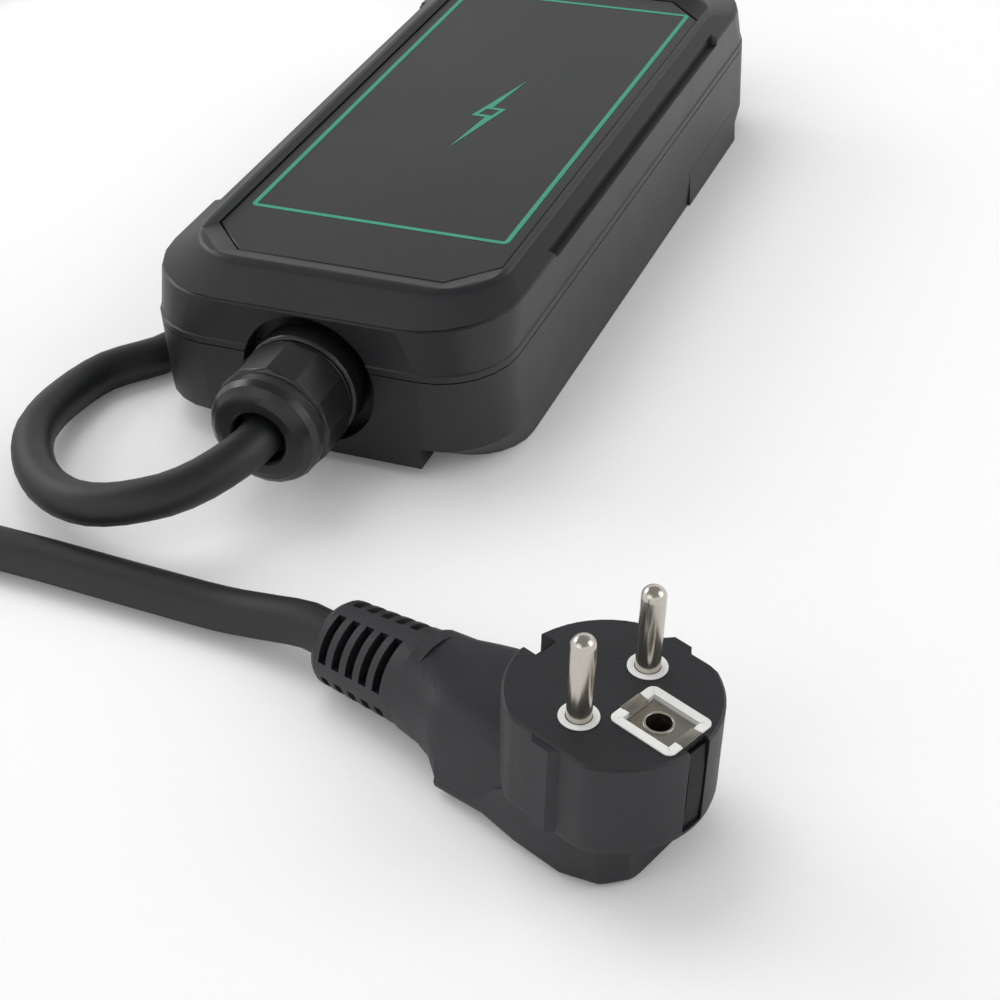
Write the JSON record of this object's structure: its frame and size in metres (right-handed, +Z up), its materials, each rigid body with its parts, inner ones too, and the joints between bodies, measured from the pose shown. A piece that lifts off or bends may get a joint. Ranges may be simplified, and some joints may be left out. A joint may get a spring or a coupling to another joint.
{
  "type": "portable ev charger",
  "caption": "Portable charger for an electric car: black in-line control box with cable glands, a looped mains lead and an angled earthed plug with round pins.",
  "frame": {"origin": "Middle of the control box's underside, on the surface it stands on.", "axes": "X across the box, Y along it with the mains gland facing -Y, Z up."},
  "size_m": [0.3844, 0.3972, 0.0523],
  "materials": {
    "shell": "fine-grained moulded black",
    "cover": "fine-grained moulded black",
    "panel": "satin dark grey front plate",
    "seal": "soft black seal",
    "board": "green solder mask",
    "relay": "dark blue case",
    "supply": "black potted case",
    "sleeve": "dark shrink sleeve",
    "varistor": "blue dipped coat",
    "fuse": "pale ceramic body",
    "core": "yellow taped ring",
    "terminal": "green moulded block",
    "clear": "clear light bar",
    "lamp": "pale lamp package",
    "ribbon": "grey flat cable",
    "wire_earth": "green and yellow insulation",
    "wire_live": "brown insulation",
    "wire_neutral": "blue insulation",
    "nylon": "satin black nylon",
    "rubber": "black seal rubber",
    "cord": "black matt sheath",
    "mould": "black overmould",
    "white": "white insert",
    "nickel": "bright nickel plate",
    "steel": "zinc-plated steel"
  },
  "bodies": {
    "root": {"board_screw_1": "steel", "board_screw_2": "steel", "board_screw_3": "steel", "board_screw_4": "steel", "capacitor_1": "sleeve", "capacitor_2": "sleeve", "contact_carrier": "white", "earth_clip_front": "nickel", "earth_clip_rear": "nickel", "earth_conductor": "wire_earth", "earth_contact": "nickel", "front_panel": "panel", "fuse": "fuse", "housing_screw_1": "steel", "housing_screw_2": "steel", "housing_screw_3": "steel", "housing_screw_4": "steel", "housing_screw_5": "steel", "housing_screw_6": "steel", "indicator_board": "board", "indicator_screw_1": "steel", "indicator_screw_2": "steel", "input_terminal": "terminal", "led_1": "lamp", "led_2": "lamp", "led_3": "lamp", "led_4": "lamp", "light_guide": "clear", "live_conductor": "wire_live", "live_pin": "nickel", "lower_housing": "shell", "main_board": "board", "mains_cord": "cord", "mains_gland_body": "nylon", "mains_gland_locknut": "nylon", "mains_gland_nut": "nylon", "mains_gland_seal": "rubber", "neutral_conductor": "wire_neutral", "neutral_pin": "nickel", "output_terminal": "terminal", "plug_body": "mould", "power_supply": "supply", "relay_1": "relay", "relay_2": "relay", "residual_current_coil": "core", "ribbon_cable": "ribbon", "seal_strip_left": "seal", "seal_strip_right": "seal", "upper_housing": "cover", "varistor": "varistor", "vehicle_gland_body": "nylon", "vehicle_gland_locknut": "nylon", "vehicle_gland_nut": "nylon", "vehicle_gland_seal": "rubber"}
  },
  "joints": []
}
